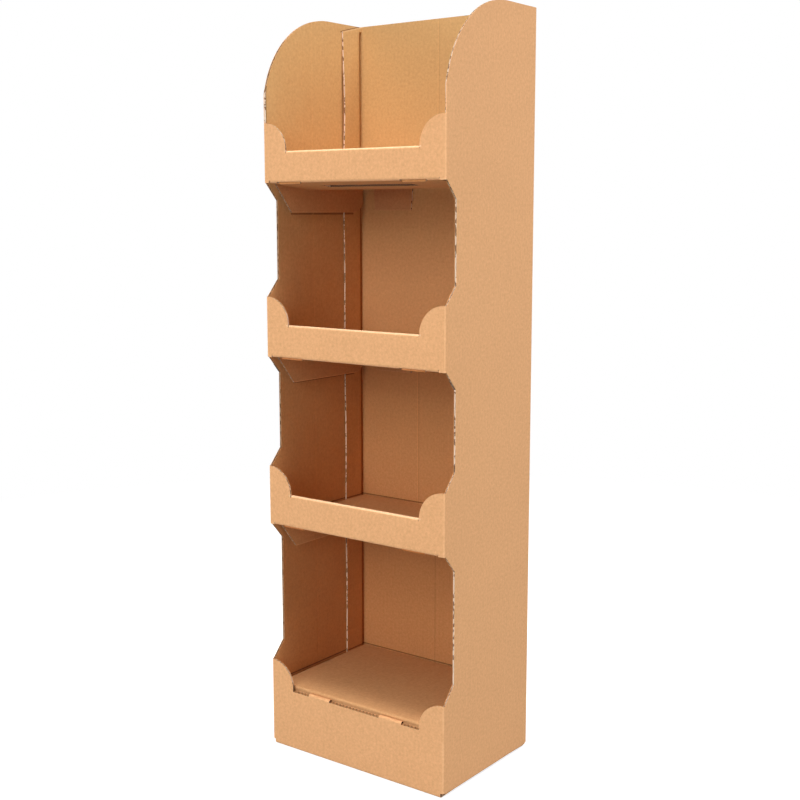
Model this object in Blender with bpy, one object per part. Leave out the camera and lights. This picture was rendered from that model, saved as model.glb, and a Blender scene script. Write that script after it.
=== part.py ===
"""Cardboard display stand with four tiers, folded from five sheets of corrugated board.

The outer wrap is one die-cut blank: left side, front, right side, back and glue flap, with the
bands, ledges and bottom flaps that fold from them. Three equal shelf sheets lie on its ledges,
and the base shelf stands on its own flaps, like an upturned tray.
Metres, Z up. The front faces -Y, and the origin is on the floor under the middle of the stand.
Each sheet is drawn flat, cut along its creases and then folded, as the real one is.
"""

import math
from collections import namedtuple

import bmesh
import bpy
from mathutils import Vector
from mathutils.geometry import delaunay_2d_cdt

# Board
BOARD = 0.0040
CREASE_INSIDE = 0.0005
ROLL_INSIDE = 0.00035
CLEARANCE = 0.0003
KNIFE = 0.0012

# Stand
WIDTH = 0.400
DEPTH = 0.278
BASE_HEIGHT = 0.118
TIER_PITCH = 0.315
CROWN_RADIUS = 0.180
CROWN_STRAIGHT = 0.0165
GLUE_FLAP = 0.060
GLUE_FLAP_SLOPE = 0.014

# Upright score lines, pressed into the inside so that the empty stand folds flat
SCORE_WIDTH = 0.0030
SCORE_DEPTH = 0.0006
SIDE_SCORE = 0.130
BACK_SCORE = 0.190

# Front bands, from their bottom fold to their rolled lip
LIP_HEIGHT = 0.0605
TOP_LIP_HEIGHT = 0.0555
EAR_RADIUS = 0.050
EAR_FLAT = 0.003

# Openings in the side panels between the bands
INSET = 0.032
INSET_RISE = 0.031

# Locking tabs of the lining, and the slots that take them
TAB_OUTER = 0.037
TAB_SHIFT = 0.005
TAB_WIDTH = 0.052
TAB_SHOWN = 0.0022
TAB_PLAY = 0.0020
SHOULDER = 0.043
BASE_SLOT_END = 0.092
MIDDLE_SLOT = 0.116

# Ledges that fold back from the bands and carry the shelves
LEDGE_DEPTH = 0.100
LEDGE_SIDE = 0.0135
LEDGE_SPRING = math.radians(6.8)
SLIT_WIDTH = 0.200
SLIT_DEPTH = 0.025
SLIT_PLACE = 0.056

# Bottom flaps
FLAP_JOINT = 0.0020
FLAP_TAPER = 0.0040
CORNER_SLOT = 0.0020

# Shelf sheets
SHELF_FLAP = 0.061
FLAP_FRONT = 0.002
FLAP_FRONT_SLANT = 0.0455
FLAP_REAR_RADIUS = 0.030
REAR_TAB = 0.057
REAR_TAB_OUTER = 0.026
REAR_TAB_WIDTH = 0.095
REAR_TAB_TAPER = 0.004
BASE_SHELF_RISE = 0.0043
FRONT_FLAP_TAPER = 0.003

# Roundness of what is curved
BEND_STEPS = 4
ROLL_STEPS = 8
EAR_STEPS = 12
CROWN_STEPS = 28
CORNER_STEPS = 6
SAME_POINT = 1e-7

BEND = CREASE_INSIDE + BOARD / 2
ROLL = ROLL_INSIDE + BOARD / 2
OUTSIDE = BEND + BOARD / 2
ROLL_OUTSIDE = ROLL + BOARD / 2
RIGHT_ANGLE = math.pi / 2
ARC = BEND * RIGHT_ANGLE
LEDGE_FOLD = RIGHT_ANGLE - LEDGE_SPRING

Crease = namedtuple("Crease", "axis start side radius angle steps region")


def arc_points(centre, radius, first, last, steps):
    """Points on an arc from one angle to the other, both ends included."""
    turns = [first + (last - first) * step / steps for step in range(steps + 1)]
    return [(centre[0] + radius * math.cos(t), centre[1] + radius * math.sin(t)) for t in turns]


def rectangle(low, high):
    return [low, (high[0], low[1]), high, (low[0], high[1])]


def covers(crease, point):
    """True for a point of the flat blank that lies past this crease, in the crease's own flap."""
    if crease.side * (point[crease.axis] - crease.start) <= 0:
        return False
    (low_u, low_v), (high_u, high_v) = crease.region
    return low_u <= point[0] <= high_u and low_v <= point[1] <= high_v


def flat_sheet(outline, holes):
    """The blank as a flat face on the plane n = -BOARD / 2, in triangles between its cut edges."""
    rings = [outline] + holes
    points = [Vector(point) for ring in rings for point in ring]
    ends = [sum(len(ring) for ring in rings[:count]) for count in range(len(rings) + 1)]
    loops = [list(range(first, last)) for first, last in zip(ends, ends[1:])]
    found = delaunay_2d_cdt(points, [], loops, 1, SAME_POINT, True)
    corners, triangles, owners = found[0], found[2], found[5]
    sheet = bmesh.new()
    verts = [sheet.verts.new((*corner, -BOARD / 2)) for corner in corners]
    for triangle, owner in zip(triangles, owners):
        if owner == [0]:
            sheet.faces.new([verts[index] for index in triangle])
    bmesh.ops.delete(sheet, geom=[v for v in sheet.verts if not v.link_faces], context="VERTS")
    return sheet


def cut_crease(sheet, crease):
    """Cuts the sheet across at every step of a crease's bend, so that it can be folded round it."""
    normal = [0, 0, 0]
    normal[crease.axis] = 1
    for step in range(crease.steps + 1):
        place = [0, 0, 0]
        length = crease.radius * crease.angle
        place[crease.axis] = crease.start + crease.side * length * step / crease.steps
        faces = [f for f in sheet.faces if any(covers(crease, v.co) for v in f.verts)]
        edges = {edge for face in faces for edge in face.edges}
        corners = {vert for face in faces for vert in face.verts}
        geometry = faces + list(edges) + list(corners)
        bmesh.ops.bisect_plane(sheet, geom=geometry, plane_co=place, plane_no=normal)


def thicken(sheet):
    """Raises the flat face into a board of full thickness, half of it on each side of n = 0."""
    raised = bmesh.ops.extrude_face_region(sheet, geom=sheet.faces[:], use_keep_orig=True)
    top = [item for item in raised["geom"] if isinstance(item, bmesh.types.BMVert)]
    bmesh.ops.translate(sheet, verts=top, vec=(0, 0, BOARD))
    bmesh.ops.recalc_face_normals(sheet, faces=sheet.faces[:])


def fold(sheet, creases):
    """Folds the board inwards at each crease in turn, the ones furthest from the front first."""
    for vert in sheet.verts:
        flat = vert.co.copy()
        for crease in creases:
            if not covers(crease, flat):
                continue
            distance = crease.side * (vert.co[crease.axis] - crease.start)
            turned = min(distance / crease.radius, crease.angle)
            straight = max(distance - crease.radius * crease.angle, 0)
            off_centre = crease.radius + vert.co.z
            reach = off_centre * math.sin(turned) + straight * math.cos(crease.angle)
            drop = off_centre * math.cos(turned) - straight * math.sin(crease.angle)
            vert.co[crease.axis] = crease.start + crease.side * reach
            vert.co.z = drop - crease.radius


def cut_score(sheet, place):
    """Cuts the sheet along the middle and both sides of an upright score line."""
    for offset in (-SCORE_WIDTH / 2, 0, SCORE_WIDTH / 2):
        geometry = sheet.verts[:] + sheet.edges[:] + sheet.faces[:]
        line = (place + offset, 0, 0)
        bmesh.ops.bisect_plane(sheet, geom=geometry, plane_co=line, plane_no=(1, 0, 0))


def press_score(sheet, place):
    """Presses the middle of a score line into the inner face, above the bottom flaps."""
    for vert in sheet.verts:
        is_inside = vert.co.z < 0 and vert.co.y >= bottom_crease(True)
        if is_inside and abs(vert.co.x - place) < SCORE_WIDTH / 4:
            vert.co.z += SCORE_DEPTH


def folded_sheet(name, outline, holes, creases, scores, place):
    """A mesh of the blank, cut and folded at its creases and put where `place` sends each point."""
    sheet = flat_sheet(outline, holes)
    for crease in creases:
        cut_crease(sheet, crease)
    for score in scores:
        cut_score(sheet, score)
    thicken(sheet)
    for score in scores:
        press_score(sheet, score)
    fold(sheet, creases)
    for vert in sheet.verts:
        vert.co = place(vert.co)
    bmesh.ops.triangulate(sheet, faces=[face for face in sheet.faces if len(face.verts) > 4])
    mesh = bpy.data.meshes.new(name)
    sheet.to_mesh(mesh)
    sheet.free()
    mesh.shade_smooth()
    mesh.set_sharp_from_angle(angle=math.radians(30))
    return mesh


# Places on the folded stand, measured from its left and front faces, as places on the flat blank.
# The blank's u runs along the front from the left corner's bend, and its v is the height.


def front_u(x):
    return x - OUTSIDE


def left_u(y):
    return OUTSIDE - ARC - y


def right_u(y):
    return front_u(WIDTH - OUTSIDE) + ARC + y - OUTSIDE


def back_u(x):
    return right_u(DEPTH - OUTSIDE) + ARC + WIDTH - OUTSIDE - x


def glue_u(y):
    return back_u(glue_side() + OUTSIDE) + ARC + DEPTH - OUTSIDE - y


def glue_side():
    """The outer face of the glue flap, which lies inside the left panel."""
    return BOARD + CLEARANCE


def band_bottom(tier):
    """Height of the bottom fold of the band in front of a tier, counted from the base as 0."""
    return BASE_HEIGHT + TIER_PITCH * tier


def lip_top(tier):
    """Height of the upper edge of a tier's band. At the base that is the front panel's top."""
    if tier == 0:
        return BASE_HEIGHT
    return band_bottom(tier) + (TOP_LIP_HEIGHT if tier == 3 else LIP_HEIGHT)


def ear_top(tier):
    return lip_top(tier) + EAR_RADIUS


def stand_height():
    return ear_top(3) + CROWN_STRAIGHT + CROWN_RADIUS


def ear_side():
    """Where the ear's curve meets the lip, measured from the stand's side."""
    return EAR_FLAT + EAR_RADIUS


def mirrored(chain):
    """A chain on the front panel, turned round to the other side and read backwards."""
    middle = front_u(WIDTH / 2)
    return [(middle + middle - u, v) for u, v in reversed(chain)]


def ear_chain(tier):
    """The right ear, from its top at the corner bend to the knife cut beside the lip's fold."""
    centre = (front_u(WIDTH - EAR_FLAT), lip_top(tier))
    curve = arc_points(centre, EAR_RADIUS, RIGHT_ANGLE, math.pi, EAR_STEPS)
    return curve + [(front_u(WIDTH - ear_side()), roll_start(tier))]


def roll_start(tier):
    """Height where a lip starts to roll over."""
    return lip_top(tier) - ROLL_OUTSIDE


def roll_end(tier):
    """Where the roll ends on the flat blank, and the straight lining begins."""
    return roll_start(tier) + ROLL * math.pi


def bottom_rest():
    """Height of what stands on the bottom flaps, which lie two boards deep."""
    return BOARD + CLEARANCE + BOARD + CLEARANCE


def lining_chain(tier, shift):
    """The right half of the lining: from the knife cut at the ear over its edge and locking tab.

    Once clear of the ear's curve it has a shoulder out to the tab, which the shift moves inwards.
    """
    side = WIDTH - ear_side() - KNIFE
    rest = band_bottom(tier) + BOARD + CLEARANCE
    edge = roll_end(tier) + roll_start(tier) - rest
    tip = edge + rest - band_bottom(tier) + TAB_SHOWN
    outer = WIDTH - TAB_OUTER - shift
    inner = outer - TAB_WIDTH
    corners = [
        (side, roll_start(tier)),
        (side, lip_top(tier) + SHOULDER),
        (outer, lip_top(tier) + SHOULDER),
        (outer, edge),
        (outer - TAB_PLAY, tip),
        (inner + TAB_PLAY, tip),
        (inner, edge),
    ]
    return [(front_u(x), v) for x, v in corners]


def base_lining_chain():
    """The right half of the base panel's lining. A slot opens its roll from the ear inwards."""
    side = WIDTH - ear_side() - KNIFE
    slot_end = WIDTH - BASE_SLOT_END
    edge = roll_end(0) + roll_start(0) - bottom_rest()
    corners = [
        (slot_end, roll_start(0)),
        (slot_end, roll_end(0)),
        (side, roll_end(0)),
        (side, edge),
    ]
    return [(front_u(x), v) for x, v in corners]


def front_lower_chain(tier):
    """The lower edge of an opening, from the right ear's top to the left ear's top."""
    if tier == 0:
        halves = [base_lining_chain(), base_lining_chain()]
    else:
        halves = [lining_chain(tier, TAB_SHIFT), lining_chain(tier, -TAB_SHIFT)]
    right, left = [ear_chain(tier) + half for half in halves]
    return right + mirrored(left)


def ledge_chain(tier):
    """The upper edge of an opening, from left to right: the band's bottom and the ledge on it."""
    start = band_bottom(tier) + OUTSIDE
    far = start - BEND * LEDGE_FOLD - (LEDGE_DEPTH - OUTSIDE) / math.cos(LEDGE_SPRING)
    corners = [
        (LEDGE_SIDE - KNIFE, band_bottom(tier)),
        (LEDGE_SIDE - KNIFE, start),
        (LEDGE_SIDE, start),
        (LEDGE_SIDE, far),
    ]
    left = [(front_u(x), v) for x, v in corners]
    return left + mirrored(left)


def inset_chain(side_u, low, high):
    """The opening's edge in a side panel, from its lower to its upper corner."""
    return [
        (side_u(OUTSIDE), low),
        (side_u(INSET), low + INSET_RISE),
        (side_u(INSET), high - INSET_RISE),
        (side_u(OUTSIDE), high),
    ]


def window(tier):
    """The hole that the die cuts above a tier's band, up to the ledge of the band over it."""
    low = ear_top(tier)
    high = band_bottom(tier + 1)
    left = inset_chain(left_u, low, high)
    right = inset_chain(right_u, low, high)
    clockwise = front_lower_chain(tier) + left + ledge_chain(tier + 1) + right[::-1]
    return clockwise[::-1]


def tab_slots(tier):
    """The two slots in a band's bottom fold that the lining's locking tabs pass through.

    Each runs from the middle of the fold's bend to just behind the lining.
    """
    fold_start = band_bottom(tier) + OUTSIDE
    middle = fold_start - BEND * LEDGE_FOLD / 2
    lining_back = ROLL_OUTSIDE + ROLL_OUTSIDE + CLEARANCE + CLEARANCE
    far = fold_start - BEND * LEDGE_FOLD - (lining_back - OUTSIDE)
    slots = []
    for shift in (TAB_SHIFT, -TAB_SHIFT):
        outer = TAB_OUTER + shift - TAB_PLAY
        inner = outer + TAB_WIDTH + TAB_PLAY + TAB_PLAY
        slots.append(rectangle((front_u(outer), far), (front_u(inner), middle)))
    return [mirrored(slots[0]), slots[1]]


def middle_slot():
    """The slot in the middle of the base panel's rolled lip."""
    low = (front_u((WIDTH - MIDDLE_SLOT) / 2), roll_start(0))
    return rectangle(low, (front_u((WIDTH + MIDDLE_SLOT) / 2), roll_end(0)))


def ledge_slit(tier):
    """The long slit across a ledge."""
    start = band_bottom(tier) + OUTSIDE - BEND * LEDGE_FOLD
    centre = start - (SLIT_PLACE - OUTSIDE) / math.cos(LEDGE_SPRING)
    low = (front_u((WIDTH - SLIT_WIDTH) / 2), centre - SLIT_DEPTH / 2)
    return rectangle(low, (front_u((WIDTH + SLIT_WIDTH) / 2), centre + SLIT_DEPTH / 2))


def bottom_crease(is_side):
    """Height where a bottom flap's bend starts. The side flaps lie on top of the other two."""
    return OUTSIDE + (BOARD + CLEARANCE if is_side else 0)


def bottom_flap(first, last, is_side):
    """A bottom flap on the blank, from left to right between two places of its panel."""
    top = bottom_crease(True)
    reach = (DEPTH - FLAP_JOINT) / 2
    end = bottom_crease(is_side) - ARC - (reach - OUTSIDE)
    low = first + CORNER_SLOT
    high = last - CORNER_SLOT
    return [(low, top), (low + FLAP_TAPER, end), (high - FLAP_TAPER, end), (high, top)]


def bottom_chain():
    """The blank's lower edge, from the left panel's free edge to the glue flap."""
    free_edge = left_u(DEPTH)
    left = bottom_flap(left_u(DEPTH - OUTSIDE), left_u(OUTSIDE), True)
    front = bottom_flap(front_u(OUTSIDE), front_u(WIDTH - OUTSIDE), False)
    right = bottom_flap(right_u(OUTSIDE), right_u(DEPTH - OUTSIDE), True)
    back = bottom_flap(back_u(WIDTH - OUTSIDE), back_u(glue_side() + OUTSIDE), False)
    glue_end = glue_u(DEPTH - GLUE_FLAP)
    top = bottom_crease(True)
    return [(free_edge, top)] + left + front + right + back + [(glue_end, top)]


def crown_chain():
    """The top of the left panel: from its front edge over the round crown to its free edge."""
    centre = (0, stand_height() - CROWN_RADIUS)
    curve = arc_points(centre, CROWN_RADIUS, math.pi, RIGHT_ANGLE, CROWN_STEPS)
    front_edge = left_u(OUTSIDE) + ARC / 2
    points = [(min(left_u(CROWN_RADIUS + y), front_edge), v) for y, v in curve]
    return [(front_edge, ear_top(3))] + points + [(left_u(DEPTH), stand_height())]


def top_chain():
    """The blank's upper edge, from the glue flap to the left panel's free edge."""
    left = crown_chain()
    middle = front_u(WIDTH / 2)
    right = [(middle + middle - u, v) for u, v in reversed(left[:-1])]
    glue_low = (glue_u(DEPTH - GLUE_FLAP), stand_height() - GLUE_FLAP_SLOPE)
    glue = [glue_low, (glue_u(DEPTH - OUTSIDE), stand_height())]
    return glue + right + front_lower_chain(3) + left


def corner_crease(start, side):
    """An upright crease: it folds everything past it, at every height."""
    far = WIDTH + WIDTH + stand_height()
    return Crease(0, start, side, BEND, RIGHT_ANGLE, BEND_STEPS, ((-far, -far), (far, far)))


def flap_crease(start, side, radius, angle, steps, span, limit):
    """A level crease: it folds the flap between two places of a panel, up to a height."""
    region = ((span[0], min(start, limit)), (span[1], max(start, limit)))
    return Crease(1, start, side, radius, angle, steps, region)


def lip_crease(tier):
    """The roll of a lip, which turns its lining half round to the inside."""
    side = ear_side() + KNIFE / 2
    span = (front_u(side), front_u(WIDTH - side))
    limit = roll_start(tier) + TIER_PITCH / 2
    return flap_crease(roll_start(tier), 1, ROLL, math.pi, ROLL_STEPS, span, limit)


def shoulder_creases(tier):
    """The same roll for the lining's two shoulders, which reach out over the ears' curves."""
    low = lip_top(tier) + SHOULDER - KNIFE / 2
    limit = roll_start(tier) + TIER_PITCH / 2
    outer = TAB_OUTER - TAB_SHIFT - KNIFE / 2
    inner = ear_side() + KNIFE / 2
    creases = []
    for first, last in ((outer, inner), (WIDTH - inner, WIDTH - outer)):
        region = ((front_u(first), low), (front_u(last), limit))
        creases.append(Crease(1, roll_start(tier), 1, ROLL, math.pi, ROLL_STEPS, region))
    return creases


def ledge_crease(tier):
    """The fold between a band and its ledge, which droops a little from level."""
    side = LEDGE_SIDE - KNIFE / 2
    span = (front_u(side), front_u(WIDTH - side))
    start = band_bottom(tier) + OUTSIDE
    return flap_crease(start, -1, BEND, LEDGE_FOLD, BEND_STEPS, span, start - TIER_PITCH / 2)


def wrap_creases():
    """All creases of the wrap, in the order in which they are folded."""
    level = [lip_crease(tier) for tier in (0, 1, 2, 3)]
    level += [crease for tier in (1, 2, 3) for crease in shoulder_creases(tier)]
    level += [ledge_crease(tier) for tier in (1, 2, 3)]
    panels = [
        (left_u(DEPTH), left_u(OUTSIDE), True),
        (front_u(OUTSIDE), front_u(WIDTH - OUTSIDE), False),
        (right_u(OUTSIDE), right_u(DEPTH - OUTSIDE), True),
        (back_u(WIDTH - OUTSIDE), back_u(glue_side() + OUTSIDE), False),
    ]
    for first, last, is_side in panels:
        start = bottom_crease(is_side)
        level.append(flap_crease(start, -1, BEND, RIGHT_ANGLE, BEND_STEPS, (first, last), -DEPTH))
    upright = [
        corner_crease(glue_u(DEPTH - OUTSIDE) - ARC, 1),
        corner_crease(right_u(DEPTH - OUTSIDE), 1),
        corner_crease(front_u(WIDTH - OUTSIDE), 1),
        corner_crease(front_u(OUTSIDE), -1),
    ]
    return level + upright


def on_front(point):
    """A point of the folded wrap, from the front panel's frame to the stand's."""
    return (
        point.x + OUTSIDE - WIDTH / 2,
        BOARD / 2 - point.z - DEPTH / 2,
        point.y,
    )


def wrap_mesh():
    holes = [window(0), window(1), window(2), middle_slot()]
    for tier in (1, 2, 3):
        holes += tab_slots(tier)
        holes.append(ledge_slit(tier))
    outline = bottom_chain() + top_chain()
    scores = [left_u(SIDE_SCORE), right_u(SIDE_SCORE), back_u(BACK_SCORE)]
    return folded_sheet("outer_wrap", outline, holes, wrap_creases(), scores, on_front)


def shelf_left():
    """The outer face of a shelf's left flap, which lies against the glue flap."""
    return glue_side() + BOARD + CLEARANCE


def shelf_front():
    """The shelf's front edge, behind the lining of a band."""
    return ROLL_OUTSIDE + ROLL_OUTSIDE + CLEARANCE


def shelf_back():
    return DEPTH - BOARD - CLEARANCE


def side_flap(crease_x, side, drop):
    """A shelf's side flap, from its front to its back: slanted at the front, rounded at the back."""
    end = crease_x + side * (ARC + drop - OUTSIDE)
    front = shelf_front() + FLAP_FRONT
    back = shelf_back() - OUTSIDE - KNIFE
    centre = (end - side * FLAP_REAR_RADIUS, back - FLAP_REAR_RADIUS)
    first = 0 if side > 0 else math.pi
    curve = arc_points(centre, FLAP_REAR_RADIUS, first, RIGHT_ANGLE, CORNER_STEPS)
    return [(crease_x, front), (end, front + FLAP_FRONT_SLANT)] + curve + [(crease_x, back)]


def rear_tab(first, last, drop):
    """One of the two tabs behind a shelf, from its right to its left corner."""
    crease_y = shelf_back() - OUTSIDE
    end = crease_y + ARC + drop - OUTSIDE
    return [
        (last, crease_y),
        (last - REAR_TAB_TAPER, end),
        (first + REAR_TAB_TAPER, end),
        (first, crease_y),
    ]


def front_flap(left, right, drop):
    """The flap in front of the base shelf, from its left to its right corner."""
    crease_y = shelf_front() + OUTSIDE
    end = crease_y - ARC - (drop - OUTSIDE)
    low = left + CORNER_SLOT
    high = right - CORNER_SLOT
    return [
        (low, crease_y),
        (low + FRONT_FLAP_TAPER, end),
        (high - FRONT_FLAP_TAPER, end),
        (high, crease_y),
    ]


def shelf_mesh(name, side_drop, rear_drop, front_drop):
    """A shelf sheet, its top face at height 0, with flaps folded down that reach so far below it.

    A front_drop of 0 leaves the front edge plain, because that shelf lies behind a lining.
    """
    left = shelf_left() + OUTSIDE
    right = WIDTH - BOARD - CLEARANCE - OUTSIDE
    front = shelf_front() + (OUTSIDE if front_drop else 0)
    crease_y = shelf_back() - OUTSIDE
    back = crease_y + BEND
    left_tab = left + REAR_TAB_OUTER
    right_tab = right - REAR_TAB_OUTER
    outline = [(left, front)]
    if front_drop:
        outline += front_flap(left, right, front_drop)
    outline += [(right, front)] + side_flap(right, 1, side_drop)
    outline += [(right, back)]
    outline += rear_tab(right_tab - REAR_TAB_WIDTH, right_tab, rear_drop)
    outline += rear_tab(left_tab, left_tab + REAR_TAB_WIDTH, rear_drop)
    outline += [(left, back)] + side_flap(left, -1, side_drop)[::-1]
    far = WIDTH + DEPTH
    creases = [
        Crease(0, left, -1, BEND, RIGHT_ANGLE, BEND_STEPS, ((-far, 0), (left, crease_y))),
        Crease(0, right, 1, BEND, RIGHT_ANGLE, BEND_STEPS, ((right, 0), (far, crease_y))),
        Crease(1, crease_y, 1, BEND, RIGHT_ANGLE, BEND_STEPS, ((left_tab, 0), (right_tab, far))),
    ]
    if front_drop:
        region = ((left, -far), (right, front))
        creases.append(Crease(1, front, -1, BEND, RIGHT_ANGLE, BEND_STEPS, region))
    return folded_sheet(name, outline, [], creases, [], on_shelf)


def on_shelf(point):
    """A point of the folded shelf sheet, from its own flat frame to the stand's."""
    return (point.x - WIDTH / 2, point.y - DEPTH / 2, point.z - BOARD / 2)


def shelf_height(tier):
    """Height of a shelf's top face. Above the base, it lies on the ledge of the band."""
    if tier == 0:
        return BASE_HEIGHT + BASE_SHELF_RISE
    return band_bottom(tier) + BOARD + CLEARANCE + BOARD


def kraft_board(name, colour):
    """Uncoated brown kraft liner."""
    material = bpy.data.materials.new(name)
    material.use_nodes = True
    shader = material.node_tree.nodes["Principled BSDF"]
    shader.inputs["Base Color"].default_value = (*colour, 1)
    shader.inputs["Roughness"].default_value = 0.85
    shader.inputs["Metallic"].default_value = 0
    material.diffuse_color = (*colour, 1)
    return material


def add_object(name, mesh, place):
    piece = bpy.data.objects.new(name, mesh)
    piece.location = place
    bpy.context.scene.collection.objects.link(piece)
    return piece


def clear_scene():
    for item in list(bpy.data.objects):
        bpy.data.objects.remove(item)


def build_stand():
    clear_scene()
    wrap = wrap_mesh()
    wrap.materials.append(kraft_board("wrap_liner", (0.78, 0.43, 0.19)))
    add_object("outer_wrap", wrap, (0, 0, 0))
    legs = shelf_height(0) - bottom_rest()
    base = shelf_mesh("base_sheet", legs, legs, legs)
    shelf = shelf_mesh("shelf_sheet", SHELF_FLAP, REAR_TAB, 0)
    liner = kraft_board("shelf_liner", (0.70, 0.37, 0.16))
    base.materials.append(liner)
    shelf.materials.append(liner)
    add_object("base_shelf", base, (0, 0, shelf_height(0)))
    for tier, name in [(1, "lower_shelf"), (2, "middle_shelf"), (3, "top_shelf")]:
        add_object(name, shelf, (0, 0, shelf_height(tier)))


build_stand()
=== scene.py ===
"""Looks of the cardboard display stand: its folded board, shelves, floor and studio light."""

import math

import bmesh
import bpy
from mathutils import Euler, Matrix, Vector


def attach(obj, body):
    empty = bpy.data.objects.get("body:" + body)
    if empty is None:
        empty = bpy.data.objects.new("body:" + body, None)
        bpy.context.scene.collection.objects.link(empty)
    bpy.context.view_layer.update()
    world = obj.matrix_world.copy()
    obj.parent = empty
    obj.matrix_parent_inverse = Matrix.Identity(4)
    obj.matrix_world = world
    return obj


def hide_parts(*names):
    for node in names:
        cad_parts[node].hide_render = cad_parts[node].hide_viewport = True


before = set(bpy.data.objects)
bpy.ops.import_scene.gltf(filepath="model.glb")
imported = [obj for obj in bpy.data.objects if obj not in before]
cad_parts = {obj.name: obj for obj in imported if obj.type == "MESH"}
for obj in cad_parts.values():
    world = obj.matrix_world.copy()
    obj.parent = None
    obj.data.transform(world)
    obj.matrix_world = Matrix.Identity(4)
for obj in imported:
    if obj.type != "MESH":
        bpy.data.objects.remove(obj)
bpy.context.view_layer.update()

scene = bpy.context.scene

# Camera
# The stand is seen from its front right corner, from chest height and a little over two metres
# away, with a normal lens. The view looks slightly down, and the camera isn't shifted.
camera_data = bpy.data.cameras.new("camera")
camera_data.lens = 56.387
camera_data.sensor_width = 36.0
camera = bpy.data.objects.new("camera", camera_data)
camera.location = (1.376, -1.823, 1.0125)
camera.rotation_euler = Euler((math.radians(81.433), math.radians(0.056), math.radians(36.994)))
scene.collection.objects.link(camera)
scene.camera = camera
scene.view_settings.view_transform = "Standard"

# World
# The studio is white where the camera or a gloss looks at it. The stand itself gets only a faint
# glow from it, so that the lamps shape the light.
GLOW = 0.04


def add_node(tree, kind, inputs=(), **settings):
    """A node with its settings, each input either fed by a socket or set to a value."""
    node = tree.nodes.new(kind)
    for name, value in settings.items():
        setattr(node, name, value)
    for key, value in dict(inputs).items():
        if isinstance(value, bpy.types.NodeSocket):
            tree.links.new(value, node.inputs[key])
        else:
            node.inputs[key].default_value = value
    return node


def calculate(tree, operation, *values):
    """A sum on single numbers."""
    return add_node(tree, "ShaderNodeMath", enumerate(values), operation=operation).outputs[0]


def seen_directly(tree):
    """1 for rays from the camera and for those of gloss and glass."""
    rays = add_node(tree, "ShaderNodeLightPath").outputs
    mirrored = calculate(tree, "MAXIMUM", rays["Is Glossy Ray"], rays["Is Transmission Ray"])
    return calculate(tree, "MAXIMUM", rays["Is Camera Ray"], mirrored)


world = bpy.data.worlds.new("studio")
scene.world = world
world.use_nodes = True
sky = world.node_tree
sky.nodes.clear()
white = add_node(sky, "ShaderNodeBackground", {"Color": (1, 1, 1, 1), "Strength": 1.0})
walls = add_node(sky, "ShaderNodeBackground", {"Color": (1, 1, 1, 1), "Strength": GLOW})
shown = {0: seen_directly(sky), 1: walls.outputs[0], 2: white.outputs[0]}
shown = add_node(sky, "ShaderNodeMixShader", shown).outputs[0]
add_node(sky, "ShaderNodeOutputWorld", {"Surface": shown})

# Lamps
# Soft boxes, all seven metres away: four in front, two on the right and one overhead, and one each
# for the left side and the back, which the photograph doesn't show. Each row gives a name, the
# azimuth and elevation in degrees, the width in metres and the power in watts.
LAMP_DISTANCE = 7.0
AIM = (0, 0, 0.75)
LAMPS = (
    ("front_left", -50, 3, 2.0, 104),
    ("front", 6, 12, 2.0, 84),
    ("front_high", 9, 28, 2.5, 135),
    ("front_top", 0, 60, 3.0, 98),
    ("right", 95, 24, 3.0, 148),
    ("right_high", 93, 56, 3.0, 140),
    ("overhead", 50, 82, 3.0, 430),
    ("left", -95, 10, 3.0, 150),
    ("back", 175, 12, 3.0, 200),
)

for name, azimuth, elevation, width, power in LAMPS:
    across = math.cos(math.radians(elevation))
    way = Vector((
        across * math.sin(math.radians(azimuth)),
        -across * math.cos(math.radians(azimuth)),
        math.sin(math.radians(elevation)),
    ))
    lamp_data = bpy.data.lights.new(name, "AREA")
    lamp_data.size = width
    lamp_data.energy = power
    lamp = bpy.data.objects.new(name, lamp_data)
    lamp.location = Vector(AIM) + way * LAMP_DISTANCE
    lamp.rotation_euler = way.to_track_quat("Z", "Y").to_euler()
    scene.collection.objects.link(lamp)

# Floor
# A pale studio floor, which takes the stand's soft shadow. The camera sees it glow, fully white
# from FADE_END on, so that it runs into the background. To the stand it is a dull pale grey.
FLOOR_REACH = 12
FLOOR_PAINT = (0.45, 0.45, 0.45, 1)
FLOOR_GLOW = 0.78
FLOOR_BOUNCE = (0.29, 0.29, 0.29, 1)
FADE_START = 1.0
FADE_END = 2.5

floor_mesh = bpy.data.meshes.new("floor")
floor_form = bmesh.new()
bmesh.ops.create_grid(floor_form, x_segments=1, y_segments=1, size=FLOOR_REACH)
floor_form.to_mesh(floor_mesh)
floor_form.free()
floor = bpy.data.objects.new("floor", floor_mesh)
scene.collection.objects.link(floor)
floor_white = bpy.data.materials.new("floor_white")
floor_white.use_nodes = True
ground = floor_white.node_tree
ground.nodes.clear()
matt = add_node(ground, "ShaderNodeBsdfDiffuse", {"Color": FLOOR_PAINT}).outputs[0]
glow = add_node(ground, "ShaderNodeEmission", {"Strength": FLOOR_GLOW}).outputs[0]
near = add_node(ground, "ShaderNodeAddShader", {0: matt, 1: glow}).outputs[0]
far = add_node(ground, "ShaderNodeEmission", {"Strength": 1.0}).outputs[0]
spot = add_node(ground, "ShaderNodeTexCoord").outputs["Object"]
away = add_node(ground, "ShaderNodeVectorMath", {0: spot}, operation="LENGTH").outputs["Value"]
reach = {"Value": away, "From Min": FADE_START, "From Max": FADE_END}
share = add_node(ground, "ShaderNodeMapRange", reach).outputs[0]
bright = add_node(ground, "ShaderNodeMixShader", {0: share, 1: near, 2: far}).outputs[0]
dull = add_node(ground, "ShaderNodeBsdfDiffuse", {"Color": FLOOR_BOUNCE}).outputs[0]
shown = {0: seen_directly(ground), 1: dull, 2: bright}
shown = add_node(ground, "ShaderNodeMixShader", shown).outputs[0]
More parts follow.
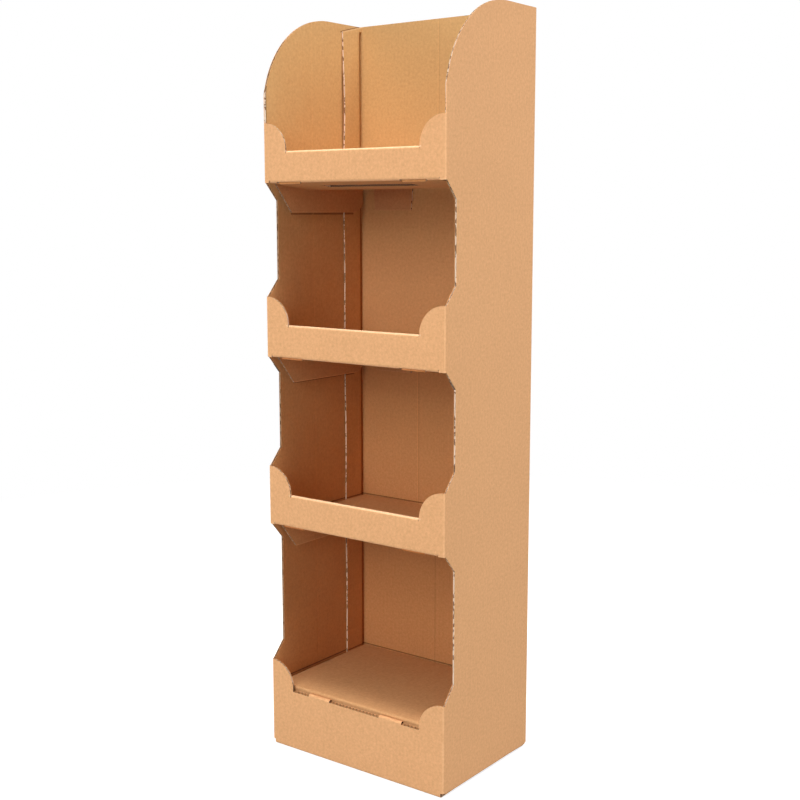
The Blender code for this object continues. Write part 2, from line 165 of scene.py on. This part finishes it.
add_node(ground, "ShaderNodeOutputMaterial", {"Surface": shown})
floor_mesh.materials.append(floor_white)

# Outer wrap: the paper
# One sheet of C-flute board with uncoated kraft liners. The paper has a fine grain and a cloudy
# tone, and the flutes show through it as a faint washboard. Folds are rubbed pale outside, and
# they carry a painted highlight.
BOARD = 0.0040
PITCH = 0.0078
HEIGHT = 1.365
LIPS = (0.1180, 0.4935, 0.8085, 1.1185)
BAND_BOTTOMS = (0.433, 0.748, 1.063)
SHELF_FACES = (0.1223, 0.4413, 0.7563, 1.0713)
FLAP_SLOPE = 0.2523
OUTSIDE_COLOUR = (0.81, 0.434, 0.202)
INSIDE_COLOUR = (0.66, 0.36, 0.14)
MEDIUM_COLOUR = (0.74, 0.56, 0.40)
CUT_COLOUR = (0.82, 0.66, 0.51)
GRAIN_SCALE = 700
FIBRE_SCALE = 200
CLOUD_SCALE = 45
DRIFT_SCALE = 7
SPECKLE_BY_CHANNEL = (1.0, 1.35, 1.8)
SIDEWAYS = 0.7
PAPER_ROUGHNESS = 0.82
PAPER_SHINE = 0.25


def noise(tree, place, scale, detail=3):
    """Noise about 0, of features about 1 / scale metres across."""
    inputs = {"Vector": place, "Scale": scale, "Detail": detail, "Roughness": 0.6}
    return calculate(tree, "SUBTRACT", add_node(tree, "ShaderNodeTexNoise", inputs).outputs[0], 0.5)


def weighted_sum(tree, parts):
    """The sum of pairs of a number and its weight."""
    total = calculate(tree, "MULTIPLY", *parts[0])
    for part, weight in parts[1:]:
        total = calculate(tree, "MULTIPLY_ADD", part, weight, total)
    return total


def tinted(tree, colour, tint, share=1.0):
    """The colour times a tint, as far as the share goes."""
    inputs = {0: share, 6: colour, 7: tint}
    settings = {"data_type": "RGBA", "blend_type": "MULTIPLY"}
    return add_node(tree, "ShaderNodeMix", inputs, **settings).outputs[2]


def coordinates(tree, place):
    """A place's numbers by name. X and Y ignore the sign of x and y."""
    axes = add_node(tree, "ShaderNodeSeparateXYZ", {0: place}).outputs
    at = {"x": axes[0], "y": axes[1], "z": axes[2]}
    at["X"] = calculate(tree, "ABSOLUTE", at["x"])
    at["Y"] = calculate(tree, "ABSOLUTE", at["y"])
    at["above flap"] = calculate(tree, "MULTIPLY_ADD", at["y"], -FLAP_SLOPE, at["z"])
    return at


def with_marks(tree, colour, at, marks):
    """The colour with all of its marks.

    Each mark is a tint and its bounds, and each bound is an axis, a centre and a half width.
    """
    for tint, bounds in marks:
        mask = None
        for axis, centre, half in bounds:
            inside = calculate(tree, "COMPARE", at[axis], centre, half)
            mask = calculate(tree, "MULTIPLY", mask, inside) if mask else inside
        colour = tinted(tree, colour, (*tint, 1), mask)
    return colour


def tints_by_height(tree, at, heights):
    """A tint that changes with the height. Each row is a share of the stand's height and a tint."""
    share = calculate(tree, "DIVIDE", at["z"], HEIGHT)
    ramp = add_node(tree, "ShaderNodeValToRGB", {0: share})
    levels = ramp.color_ramp.elements
    while len(levels) < len(heights):
        levels.new(0.5)
    for element, (level, tint) in zip(levels, heights):
        element.position = level
        element.color = (*tint, 1)
    return ramp.outputs[0]


def finish_paper(tree, colour, roughness, shine):
    """Gives the shader its colour and its gloss."""
    shader = tree.nodes["Principled BSDF"]
    shader.inputs["Roughness"].default_value = roughness
    shader.inputs["Specular IOR Level"].default_value = shine
    tree.links.new(colour, shader.inputs["Base Color"])
    return shader


def paper(name, colour, marks=(), side_axis=None, heights=()):
    """Uncoated paper. It has flutes behind it where side_axis names their way in a side panel."""
    look = bpy.data.materials.new(name)
    look.use_nodes = True
    tree = look.node_tree
    spot = add_node(tree, "ShaderNodeTexCoord").outputs
    place = spot["Object"]
    at = coordinates(tree, place)
    grain = noise(tree, place, GRAIN_SCALE)
    fibres = noise(tree, place, FIBRE_SCALE)
    clouds = noise(tree, place, CLOUD_SCALE)
    drift = noise(tree, place, DRIFT_SCALE, 2)
    tone = [(clouds, 0.05), (drift, 0.07)]
    relief = [(grain, 0.00005), (fibres, 0.00007), (drift, 0.0020)]
    if side_axis:
        facing = add_node(tree, "ShaderNodeSeparateXYZ", {0: spot["Normal"]}).outputs[0]
        facing = calculate(tree, "ABSOLUTE", facing)
        is_side = calculate(tree, "GREATER_THAN", facing, SIDEWAYS)
        across = {0: is_side, 2: at["x"], 3: at[side_axis]}
        across = add_node(tree, "ShaderNodeMix", across, data_type="FLOAT").outputs[0]
        turn = calculate(tree, "MULTIPLY", across, 2 * math.pi / PITCH)
        washboard = calculate(tree, "SINE", turn)
        tone.append((washboard, 0.006))
        relief.append((washboard, 0.00002))
    shade = calculate(tree, "ADD", weighted_sum(tree, tone), 1.0)
    speckle = weighted_sum(tree, [(grain, 0.22), (fibres, 0.36)])
    channels = {}
    for channel, share in enumerate(SPECKLE_BY_CHANNEL):
        channels[channel] = calculate(tree, "MULTIPLY_ADD", speckle, share, shade)
    varied = add_node(tree, "ShaderNodeCombineXYZ", channels).outputs[0]
    result = tinted(tree, (*colour, 1), varied)
    if heights:
        result = tinted(tree, result, tints_by_height(tree, at, heights))
    result = with_marks(tree, result, at, marks)
    inputs = {"Height": weighted_sum(tree, relief), "Strength": 1.0, "Distance": 1.0}
    bump = add_node(tree, "ShaderNodeBump", inputs).outputs[0]
    shader = finish_paper(tree, result, PAPER_ROUGHNESS, PAPER_SHINE)
    tree.links.new(bump, shader.inputs["Normal"])
    return look


# Outside: the upright corners and the lips are rubbed pale and carry a painted highlight, the base
# lip carries painted shade, the folds under the bands a painted highlight, and the ledges painted
# shade below
between_ears = ("X", 0.0750, 0.0758)
between_sides = ("X", 0.0900, 0.1040)
# Upright corners: pale from rubbing, with a painted highlight on the fold
outside_marks = [((1.08, 1.12, 1.18), (("X", 0.1990, 0.0012), ("Y", 0.1380, 0.0012)))]
# Lips: rubbing and a painted highlight on the upper rolled tops; painted shade on the base lip's
# roll
lip_highlights_and_shade = ((0.90, 0.86, 0.84), (1.08, 1.26, 1.50), (1.08, 1.26, 1.50), (1.08, 1.26, 1.50))
for lip, tint in zip(LIPS, lip_highlights_and_shade):
    rolled_lip = (("y", -0.1350, 0.0045), ("z", lip - 0.0007, 0.0016), between_ears)
    outside_marks.append((tint, rolled_lip))
# The folds under the bands get a painted highlight, and the ledges' undersides painted shade
for bottom in BAND_BOTTOMS:
    lower_fold_highlight = (("y", -0.1380, 0.0030), ("z", bottom + 0.0010, 0.0012))
    outside_marks.append(((1.06, 1.10, 1.16), lower_fold_highlight))
    # Painted shade on the underside of each ledge
    ledge_underside_shade = (("y", -0.0830, 0.0495), ("z", bottom - 0.0055, 0.0062), between_sides)
    outside_marks.append(((0.74, 0.66, 0.56), ledge_underside_shade))

# Inside: painted shade in the upright folds, the glued fold, above the glue flap, above the shelves
# and below the side flaps; a pale rim with a painted highlight on the flap's top edge; painted
# highlight and shade along the back's creases
back_wall = ("y", 0.1365, 0.0035)
top_tier = ("z", 1.220, 0.150)
lower_tier = ("z", 0.592, 0.154)
base_tier = ("z", 0.275, 0.155)
flap_top = HEIGHT - FLAP_SLOPE * 0.1345
corner_fold_shade = (("X", 0.1988, 0.0024), ("Y", 0.1352, 0.0030))
glued_fold_shade = (("x", -0.1948, 0.0026), ("y", 0.1303, 0.0042))
flap_shadow_line = (("x", -0.1960, 0.0004), ("y", 0.105, 0.029), ("above flap", flap_top, 0.0016))
flap_edge = (
    ("x", -0.1915, 0.0030),
    ("y", 0.105, 0.031),
    ("above flap", flap_top - 0.0012, 0.0012),
)
inside_marks = [
    # Painted shade in the upright folds and in the glued fold
    ((0.55, 0.48, 0.42), corner_fold_shade),
    ((0.62, 0.52, 0.44), glued_fold_shade),
    # A painted shadow on the wall just above the glue flap's top edge
    ((0.45, 0.38, 0.34), flap_shadow_line),
    # The glue flap's top edge: a pale cut rim with a painted highlight
    ((1.12, 1.22, 1.40), flap_edge),
    # Painted highlight and shade along the back wall's creases in three tiers
    ((1.10, 1.10, 1.10), (("x", -0.0100, 0.0010), back_wall, top_tier)),
    ((0.93, 0.92, 0.90), (("x", -0.0072, 0.0018), back_wall, top_tier)),
    ((1.13, 1.13, 1.13), (("x", -0.0565, 0.0010), back_wall, lower_tier)),
    ((0.91, 0.90, 0.88), (("x", -0.0537, 0.0018), back_wall, lower_tier)),
    ((0.82, 0.80, 0.78), (("x", -0.0130, 0.0009), back_wall, base_tier)),
    ((1.05, 1.05, 1.05), (("y", -0.0090, 0.0016), ("x", -0.1960, 0.0010))),
]
# Painted shade along the walls just above each shelf
for top in SHELF_FACES:
    shelf_contact_shade = (("z", top + 0.0011, 0.0013),)
    inside_marks.append(((0.50, 0.44, 0.38), shelf_contact_shade))
# Painted shadow on the wall below each side flap
for top in SHELF_FACES[1:]:
    flap_bottom_shadow = (("x", -0.1938, 0.0026), ("y", 0.0170, 0.0890), ("z", top - 0.0630, 0.0020))
    inside_marks.append(((0.58, 0.50, 0.43), flap_bottom_shadow))
for bottom in BAND_BOTTOMS:
    tab_tip = (("y", -0.1370, 0.0040), ("z", bottom, 0.0040))
    inside_marks.append(((0.98, 0.74, 0.60), tab_tip))
inside_tints = (
    (0.20, (0.98, 0.82, 0.79)),
    (0.44, (1.04, 0.94, 0.95)),
    (0.67, (1.09, 1.04, 1.13)),
    (0.84, (0.95, 1.05, 1.12)),
)

# Cut edges: painted shade in the base panel's slots, and lighter painted shade on the left panel's
# cut-outs and the glue flap's front edge
slot_shade = (("y", -0.1315, 0.0110), ("z", 0.1165, 0.0062))
cutout_shade = (("x", -0.1985, 0.0028), ("y", -0.1070, 0.0270))
glue_flap_edge_shade = (("x", -0.1930, 0.0029), ("y", 0.0750, 0.0040), ("z", 0.5800, 0.4900))
# Painted shade in the slots, on the left panel's cut edges and on the glue flap's front edge
cut_marks = [
    ((0.16, 0.12, 0.10), slot_shade),
    ((0.42, 0.34, 0.28), cutout_shade),
    ((0.66, 0.58, 0.50), glue_flap_edge_shade),
]
outside_kraft = paper("outside_kraft", OUTSIDE_COLOUR, outside_marks, "y")
inside_kraft = paper("inside_kraft", INSIDE_COLOUR, inside_marks, "y", inside_tints)
cut_paper = paper("cut_paper", CUT_COLOUR, cut_marks)
medium_paper = paper("medium_paper", MEDIUM_COLOUR, cut_marks)

# Outer wrap: the liners
# The board's outer and inner paper, each a thin skin of its own. A node's faces are joined up
# again and parted at the cut edges, which leaves the two.
LINER = 0.00045
WELD = 0.00001
SLIVER = 0.00004
NEAR = 0.0008
CUT_EDGE = math.radians(45)
SHARP_FOLD = math.radians(28)

# The glue flap, and the heights between which its front edge stands off, with how far
FLAP_FACE = (-0.1959, -0.1912)
FLAP_FRONT = 0.0750
FLAP_FOLD = 0.1330
FLAP_COLUMNS = 6
FLAP_ROWS = 8
SPRUNG = (
    (0.130, 0.378, 0.0012),
    (0.446, 0.693, 0.0014),
    (0.761, 1.008, 0.0014),
    (1.076, 1.352, 0.0045),
)

# The upright folds: x and y inside, then a groove's width, and its depths into the side and back
FOLDS = (
    (-0.1917, 0.1350, 0.0085, 0.0030, 0.0),
    (0.1960, 0.1350, 0.0040, 0.0028, 0.0014),
    (0.1960, -0.1350, 0.0040, 0.0028, 0.0014),
    (-0.1960, -0.1350, 0.0040, 0.0028, 0.0014),
)
GROOVE_SLOPE = 0.0020
GROOVE_LOW = 0.0160
GROOVE_HIGH = 1.3540


def smooth_regions(sheet):
    """The sheet's faces in groups that no sharp edge parts."""
    left = set(sheet.faces)
    regions = []
    while left:
        region = [left.pop()]
        for face in region:
            for edge in face.edges:
                for other in edge.link_faces:
                    if other in left and face.normal.angle(other.normal, math.pi) < CUT_EDGE:
                        left.remove(other)
                        region.append(other)
        regions.append(region)
    return regions


def liner_forms(node):
    """The outer and the inner liner of a node, as two forms. The outer one reaches further."""
    sheet = bmesh.new()
    sheet.from_mesh(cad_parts[node].data)
    bmesh.ops.remove_doubles(sheet, verts=sheet.verts[:], dist=WELD)
    sheet.faces.ensure_lookup_table()
    regions = smooth_regions(sheet)
    regions.sort(key=lambda region: sum(face.calc_area() for face in region))
    liners = []
    for region in regions[-2:]:
        kept = {face.index for face in region}
        liner = sheet.copy()
        others = [face for face in liner.faces if face.index not in kept]
        bmesh.ops.delete(liner, geom=others, context="FACES")
        liners.append(liner)
    sheet.free()
    liners.sort(key=lambda liner: max(vert.co.x for vert in liner.verts))
    return liners[1], liners[0]


def cut_across(form, faces, place, normal):
    """Cuts some of a form's faces at a plane."""
    edges = dict.fromkeys(edge for face in faces for edge in face.edges)
    corners = dict.fromkeys(vert for face in faces for vert in face.verts)
    geometry = [*faces, *edges, *corners]
    bmesh.ops.bisect_plane(form, geom=geometry, plane_co=place, plane_no=normal)


def glue_flap_faces(form):
    """The faces of the glue flap's broad sides."""
    faces = []
    for face in form.faces:
        middle = face.calc_center_median()
        if FLAP_FACE[0] < middle.x < FLAP_FACE[1] and middle.y > FLAP_FRONT:
            faces.append(face)
    return faces


def tidy_cuts(form):
    """Removes the slivers that cuts through the corners of faces leave."""
    bmesh.ops.remove_doubles(form, verts=form.verts[:], dist=SLIVER)
    bmesh.ops.dissolve_degenerate(form, edges=form.edges[:], dist=SLIVER)


def spring_glue_flap(form):
    """Lets the front edge of the glue flap stand away from the wall between the shelves."""
    for step in range(1, FLAP_COLUMNS):
        share = step / FLAP_COLUMNS
        y = FLAP_FRONT + (FLAP_FOLD - FLAP_FRONT) * share
        cut_across(form, glue_flap_faces(form), (0, y, 0), (0, 1, 0))
    for low, high, lift in SPRUNG:
        for step in range(FLAP_ROWS + 1):
            z = low + (high - low) * step / FLAP_ROWS
            cut_across(form, glue_flap_faces(form), (0, 0, z), (0, 0, 1))
    tidy_cuts(form)
    for vert in {vert for face in glue_flap_faces(form) for vert in face.verts}:
        for low, high, lift in SPRUNG:
            if low < vert.co.z < high and vert.co.y < FLAP_FOLD:
                turn = math.sin(math.pi * (vert.co.z - low) / (high - low))
                reach = (FLAP_FOLD - vert.co.y) / (FLAP_FOLD - FLAP_FRONT)
                vert.co.x += lift * turn ** 2 * reach ** 1.5


def faces_on(form, axis, place):
    """The faces that lie in the plane of one panel."""
    faces = []
    for face in form.faces:
        if all(abs(vert.co[axis] - place) < NEAR for vert in face.verts):
            faces.append(face)
    return faces


def press_folds(form):
    """Presses a groove into the inside of each upright fold, as the scoring wheel does."""
    for x, y, width, side_depth, rear_depth in FOLDS:
        side = math.copysign(1, x)
        rear = math.copysign(1, y)
        for inset in (width, width - GROOVE_SLOPE):
            cut_across(form, faces_on(form, 0, x), (0, y - rear * inset, 0), (0, 1, 0))
        cut_across(form, faces_on(form, 1, y), (x - side * GROOVE_SLOPE, 0, 0), (1, 0, 0))
        for end in (GROOVE_LOW, GROOVE_HIGH):
            for z in (end - GROOVE_SLOPE, end + GROOVE_SLOPE):
                cut_across(form, faces_on(form, 0, x), (0, 0, z), (0, 0, 1))
                cut_across(form, faces_on(form, 1, y), (0, 0, z), (0, 0, 1))
        tidy_cuts(form)
        for vert in form.verts:
            inside = GROOVE_LOW < vert.co.z < GROOVE_HIGH
            pressed = rear * (y - vert.co.y) < width - GROOVE_SLOPE / 2
            if inside and pressed and abs(vert.co.x - x) < NEAR:
                vert.co.x += side * side_depth
                if abs(vert.co.y - y) < NEAR:
                    vert.co.y += rear * rear_depth


def add_piece(name, mesh, looks):
    """A piece of the scene, with its materials."""
    piece = bpy.data.objects.new(name, mesh)
    scene.collection.objects.link(piece)
    mesh.materials.clear()
    for look in looks:
        mesh.materials.append(look)
    return piece


def settle(piece):
    """Turns a piece with modifiers into a plain mesh."""
    graph = bpy.context.evaluated_depsgraph_get()
    mesh = bpy.data.meshes.new_from_object(piece.evaluated_get(graph))
    piece.modifiers.clear()
    piece.data = mesh


def skin_piece(name, liner, look):
    """A liner with its paper's thickness, turned into the board. Its cut edge is paler."""
    skin = liner.copy()
    skin.normal_update()
    faces = skin.faces[:]
    shown = set(faces)
    raised = bmesh.ops.extrude_face_region(skin, geom=faces, use_keep_orig=True)["geom"]
    under = {item for item in raised if isinstance(item, bmesh.types.BMFace)}
    for face in skin.faces:
        face.material_index = 0 if face in shown or face in under else 1
    for vert in [item for item in raised if isinstance(item, bmesh.types.BMVert)]:
        vert.co -= vert.normal * LINER
    bmesh.ops.recalc_face_normals(skin, faces=skin.faces[:])
    mesh = bpy.data.meshes.new(name)
    skin.to_mesh(mesh)
    skin.free()
    mesh.shade_smooth()
    mesh.set_sharp_from_angle(angle=SHARP_FOLD)
    piece = add_piece(name, mesh, (look, cut_paper))
    weighted = piece.modifiers.new("even_light", "WEIGHTED_NORMAL")
    weighted.keep_sharp = True
    settle(piece)
    return piece


# Outer wrap: the fluted medium
# The wavy paper that is glued between the liners. It shows wherever the board is cut: as a wave
# where the knife crossed the flutes, and as a ragged wall where it ran along them.
GLUE_LINE = 0.00005
WAVE = BOARD / 2 - LINER - GLUE_LINE
SHALLOW = 0.00035
DEEP = 0.0013
STEPS_PER_WAVE = 7.0
FLAT = 0.985
SHEET_START = 0.15
SHEET_REACH = 0.9
STRAY_SCALE = 90.0
STRAY_ACROSS = 1.0
STRAY_ALONG = 8.0
TEAR_SCALE = 115
TEAR_LEVEL = 0.04
# The painted shade of the hollows between the flutes
HOLLOW_SHADE_COLOUR = (0.24, 0.14, 0.08)
HOLLOW_ROUGHNESS = 0.9
HOLLOW_SHINE = 0.2


def hollow_look(name):
    """Painted shade of the flutes' hollows: dark where the cut crosses them, else in ragged dashes.
    """
    look = bpy.data.materials.new(name)
    look.use_nodes = True
    tree = look.node_tree
    place = add_node(tree, "ShaderNodeTexCoord").outputs["Object"]
    ragged_dashes = calculate(tree, "GREATER_THAN", noise(tree, place, TEAR_SCALE, 2), TEAR_LEVEL)
    crossing = add_node(tree, "ShaderNodeAttribute", attribute_name="crossing").outputs["Fac"]
    dark = calculate(tree, "MAXIMUM", ragged_dashes, crossing)
    inputs = {0: dark, 6: (*CUT_COLOUR, 1), 7: (*HOLLOW_SHADE_COLOUR, 1)}
    colour = add_node(tree, "ShaderNodeMix", inputs, data_type="RGBA").outputs[2]
    colour = with_marks(tree, colour, coordinates(tree, place), cut_marks)
    finish_paper(tree, colour, HOLLOW_ROUGHNESS, HOLLOW_SHINE)
    return look


hollow_shade = hollow_look("hollow_shade")


def medium_tree():
    """Grows the medium along the rim of a liner: a backing wall, and a wavy sheet before it."""
    tree = bpy.data.node_groups.new("fluted_medium", "GeometryNodeTree")
    sockets = (
        ("Geometry", "NodeSocketGeometry"),
        ("Pitch", "NodeSocketFloat"),
        ("Wave", "NodeSocketFloat"),
        ("Board", "NodeSocketFloat"),
        ("Liner", "NodeSocketFloat"),
        ("Shallow", "NodeSocketFloat"),
        ("Deep", "NodeSocketFloat"),
        ("Side axis", "NodeSocketVector"),
        ("Paper", "NodeSocketMaterial"),
        ("Hollows", "NodeSocketMaterial"),
    )
    for name, kind in sockets:
        tree.interface.new_socket(name, in_out="INPUT", socket_type=kind)
    tree.interface.new_socket("Geometry", in_out="OUTPUT", socket_type="NodeSocketGeometry")
    given = add_node(tree, "NodeGroupInput").outputs

    def vectors(operation, *parts):
        keys = dict(enumerate(parts))
        if operation == "SCALE":
            keys = {0: parts[0], "Scale": parts[1]}
        node = add_node(tree, "ShaderNodeVectorMath", keys, operation=operation)
        return node.outputs["Value" if operation == "DOT_PRODUCT" else 0]

    def numbers(operation, *parts):
        return calculate(tree, operation, *parts)

    def store(geometry, name, value, kind="FLOAT_VECTOR"):
        keys = {"Geometry": geometry, "Name": name, "Value": value}
        settings = {"data_type": kind, "domain": "POINT"}
        return add_node(tree, "GeometryNodeStoreNamedAttribute", keys, **settings).outputs[0]

    def stored(name, kind="FLOAT_VECTOR"):
        node = add_node(tree, "GeometryNodeInputNamedAttribute", {"Name": name}, data_type=kind)
        return node.outputs[0]

    def moved(geometry, offset):
        keys = {"Geometry": geometry, "Offset": offset}
        return add_node(tree, "GeometryNodeSetPosition", keys).outputs[0]

    def extruded(geometry, edges, offset):
        keys = {"Mesh": geometry, "Selection": edges, "Offset": offset}
        return add_node(tree, "GeometryNodeExtrudeMesh", keys, mode="EDGES").outputs["Mesh"]

    # The rim, as curves in short steps that know which way is out of and into the board
    place = add_node(tree, "GeometryNodeInputPosition").outputs[0]
    normal = add_node(tree, "GeometryNodeInputNormal").outputs[0]
    settings = {"data_type": "FLOAT_VECTOR", "domain": "FACE"}
    centre = add_node(tree, "GeometryNodeFieldOnDomain", {0: place}, **settings).outputs[0]
    liner = store(given["Geometry"], "out", normal)
    liner = store(liner, "inward", vectors("SUBTRACT", centre, place))
    count = add_node(tree, "GeometryNodeInputMeshEdgeNeighbors").outputs[0]
    settings = {"data_type": "INT", "operation": "EQUAL"}
    is_rim = add_node(tree, "FunctionNodeCompare", {2: count, 3: 1}, **settings).outputs[0]
    rim = add_node(tree, "GeometryNodeMeshToCurve", {"Mesh": liner, "Selection": is_rim}).outputs[0]
    keys = {"Curve": rim, "Length": numbers("DIVIDE", given["Pitch"], STEPS_PER_WAVE)}
    rim = add_node(tree, "GeometryNodeResampleCurve", keys, mode="LENGTH").outputs[0]
    tangent = add_node(tree, "GeometryNodeInputTangent").outputs[0]
    out = stored("out")
    across = vectors("NORMALIZE", vectors("CROSS_PRODUCT", out, tangent))
    side = numbers("SIGN", vectors("DOT_PRODUCT", across, stored("inward")))
    sideways = numbers("ABSOLUTE", vectors("DOT_PRODUCT", out, (1.0, 0.0, 0.0)))
    level = numbers("ABSOLUTE", vectors("DOT_PRODUCT", out, (0.0, 1.0, 0.0)))
    upright = numbers("ABSOLUTE", vectors("DOT_PRODUCT", out, (0.0, 0.0, 1.0)))
    straight = numbers("MAXIMUM", sideways, numbers("MAXIMUM", level, upright))
    is_flat = numbers("GREATER_THAN", straight, FLAT)
    is_side = numbers("GREATER_THAN", sideways, SIDEWAYS)
    keys = {0: is_side, 4: (1.0, 0.0, 0.0), 5: given["Side axis"]}
    axis = add_node(tree, "ShaderNodeMix", keys, data_type="VECTOR").outputs[1]
    crossing = numbers("ABSOLUTE", vectors("DOT_PRODUCT", tangent, axis))
    rim = store(rim, "crossing", crossing, "FLOAT")
    extra = numbers("SUBTRACT", given["Deep"], given["Shallow"])
    extra = numbers("MULTIPLY", extra, numbers("MULTIPLY", crossing, is_flat))
    depth = numbers("MULTIPLY", side, numbers("ADD", given["Shallow"], extra))
    rim = store(rim, "inward", vectors("SCALE", across, depth))
    rim = store(rim, "axis", axis)
    ribbon = add_node(tree, "GeometryNodeCurveToMesh", {"Curve": rim}).outputs[0]
    inward = stored("inward")

    # The backing wall, set in by the depth of the cut; it takes the hollows' painted shade
    wall = vectors("SUBTRACT", inward, vectors("SCALE", out, given["Liner"]))
    wall = moved(ribbon, wall)
    gap = numbers("SUBTRACT", numbers("MULTIPLY", given["Liner"], 2.0), given["Board"])
    wall = extruded(wall, True, vectors("SCALE", out, gap))
    wall = store(wall, "hollow", 1.0, "FLOAT")

    # The medium, which waves between the liners and strays more where the knife ran along it
    sheet = moved(ribbon, vectors("SCALE", inward, SHEET_START))
    sheet = extruded(sheet, True, vectors("SCALE", inward, SHEET_REACH))
    sheet = store(sheet, "hollow", 0.0, "FLOAT")
    keys = {"Vector": place, "Scale": STRAY_SCALE, "Detail": 1.0}
    stray = numbers("SUBTRACT", add_node(tree, "ShaderNodeTexNoise", keys).outputs[0], 0.5)
    crossing = stored("crossing", "FLOAT")
    looseness = numbers("MULTIPLY_ADD", crossing, STRAY_ACROSS - STRAY_ALONG, STRAY_ALONG)
    turn = numbers("MULTIPLY", vectors("DOT_PRODUCT", place, stored("axis")), 2 * math.pi)
    turn = numbers("DIVIDE", turn, given["Pitch"])
    turn = numbers("MULTIPLY_ADD", stray, looseness, turn)
    wave = numbers("MULTIPLY", numbers("SINE", turn), given["Wave"])
    shift = numbers("SUBTRACT", wave, numbers("DIVIDE", given["Board"], 2.0))
    sheet = moved(sheet, vectors("SCALE", out, shift))

    joined = add_node(tree, "GeometryNodeJoinGeometry")
    for part in (wall, sheet):
        tree.links.new(part, joined.inputs[0])
    result = add_node(tree, "GeometryNodeRealizeInstances", {0: joined.outputs[0]}).outputs[0]
    keys = {"Geometry": result, "Material": given["Paper"]}
    result = add_node(tree, "GeometryNodeSetMaterial", keys).outputs[0]
    is_hollow = numbers("GREATER_THAN", stored("hollow", "FLOAT"), 0.5)
    keys = {"Geometry": result, "Selection": is_hollow, "Material": given["Hollows"]}
    result = add_node(tree, "GeometryNodeSetMaterial", keys).outputs[0]
    add_node(tree, "NodeGroupOutput", {0: result})
    return tree


fluted_medium = medium_tree()


def medium_piece(name, liner, side_axis):
    """The medium along every cut edge of the board, grown from its outer liner."""
    mesh = bpy.data.meshes.new(name)
    liner.to_mesh(mesh)
    mesh.shade_smooth()
    piece = add_piece(name, mesh, (medium_paper, hollow_shade))
    flutes = piece.modifiers.new("flutes", "NODES")
    flutes.node_group = fluted_medium
    values = {
        "Pitch": PITCH,
        "Wave": WAVE,
        "Board": BOARD,
        "Liner": LINER,
        "Shallow": SHALLOW,
        "Deep": DEEP,
        "Side axis": side_axis,
        "Paper": medium_paper,
        "Hollows": hollow_shade,
    }
    for item in fluted_medium.interface.items_tree:
        if item.name in values:
            flutes[item.identifier] = values[item.name]
    settle(piece)
    return piece


def dress(node, outer, inner, looks, side_axis):
    """Sets a node's three papers in its place."""
    pieces = [
        skin_piece(node + "_outer_liner", outer, looks[0]),
        skin_piece(node + "_inner_liner", inner, looks[1]),
        medium_piece(node + "_medium", outer, side_axis),
    ]
    for piece in pieces:
        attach(piece, "root")
        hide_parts(node)
    outer.free()
    inner.free()


outer, inner = liner_forms("outer_wrap")
spring_glue_flap(outer)
spring_glue_flap(inner)
press_folds(inner)
dress("outer_wrap", outer, inner, (outside_kraft, inside_kraft), (0.0, 1.0, 0.0))

# Shelves
# Four folded sheets of the same board, a little browner than the wrap. Their flutes run from
# front to back, so they run level in the side flaps. The lower edges of the side flaps and rear
# tabs carry a pale burr line with a painted highlight.
SHELF_COLOUR = (0.64, 0.34, 0.145)
OUTER_BEND = 0.0045
FLAP_SIDE = 0.1860
FLAP_SPRING = 0.065
SHELVES = ("base_shelf", "lower_shelf", "middle_shelf", "top_shelf")
shelf_tints = (
    (0.10, (0.93, 0.91, 0.92)),
    (0.30, (1.06, 1.03, 1.04)),
    (0.80, (1.02, 0.98, 1.02)),
)
shelf_marks = []
# A pale burr line with a painted highlight along the lower edges of the side flaps and rear tabs
for top in SHELF_FACES[1:]:
    side_flap_burr_highlight = (("X", 0.1900, 0.0110), ("z", top - 0.0604, 0.0008))
    rear_tab_burr_highlight = (("y", 0.1320, 0.0040), ("z", top - 0.0564, 0.0008))
    shelf_marks.append(((1.25, 1.32, 1.42), side_flap_burr_highlight))
    shelf_marks.append(((1.12, 1.16, 1.20), rear_tab_burr_highlight))


def spring_side_flaps(form, top):
    """Lets the side flaps lean in a little from the walls, as they do under their own spring."""
    for vert in form.verts:
        hang = top - OUTER_BEND - vert.co.z
        if hang > 0 and abs(vert.co.x) > FLAP_SIDE:
            vert.co.x -= math.copysign(hang * FLAP_SPRING, vert.co.x)


shelf_kraft = paper("shelf_kraft", SHELF_COLOUR, shelf_marks, "z", shelf_tints)
for shelf, top in zip(SHELVES, SHELF_FACES):
    outer, inner = liner_forms(shelf)
    if shelf != "base_shelf":
        spring_side_flaps(outer, top)
        spring_side_flaps(inner, top)
    dress(shelf, outer, inner, (shelf_kraft, shelf_kraft), (0.0, 0.0, 1.0))
